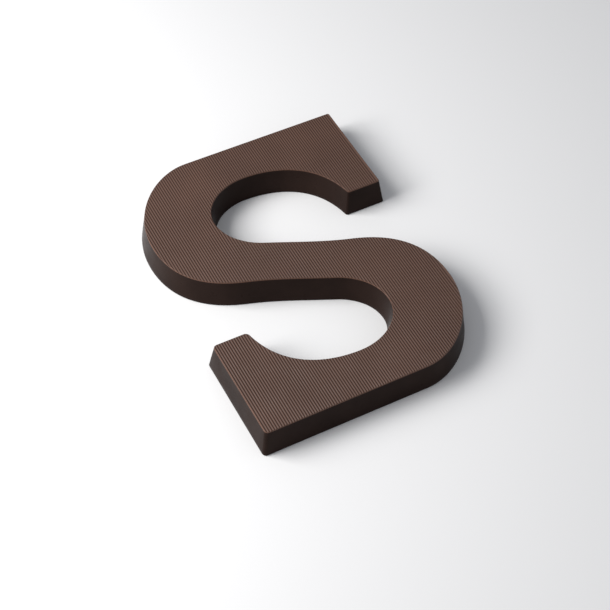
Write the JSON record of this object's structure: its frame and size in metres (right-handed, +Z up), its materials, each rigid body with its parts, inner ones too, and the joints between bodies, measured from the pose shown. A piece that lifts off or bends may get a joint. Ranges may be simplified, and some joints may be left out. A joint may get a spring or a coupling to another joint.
{
  "type": "chocolate letter",
  "caption": "Solid dark chocolate letter S with a finely ribbed top face, smooth slanted walls and a flat back.",
  "frame": {"origin": "middle of the flat back, on the surface that the letter lies on", "axes": "+Z up through the ribbed face, +Y from the foot of the letter to its head, +X to the reader's right"},
  "size_m": [0.1112, 0.1536, 0.013],
  "materials": {
    "dark_chocolate": "dark chocolate, satin on the ribbed face and glossy on the moulded walls"
  },
  "bodies": {
    "root": {"letter": "dark_chocolate"}
  },
  "joints": []
}
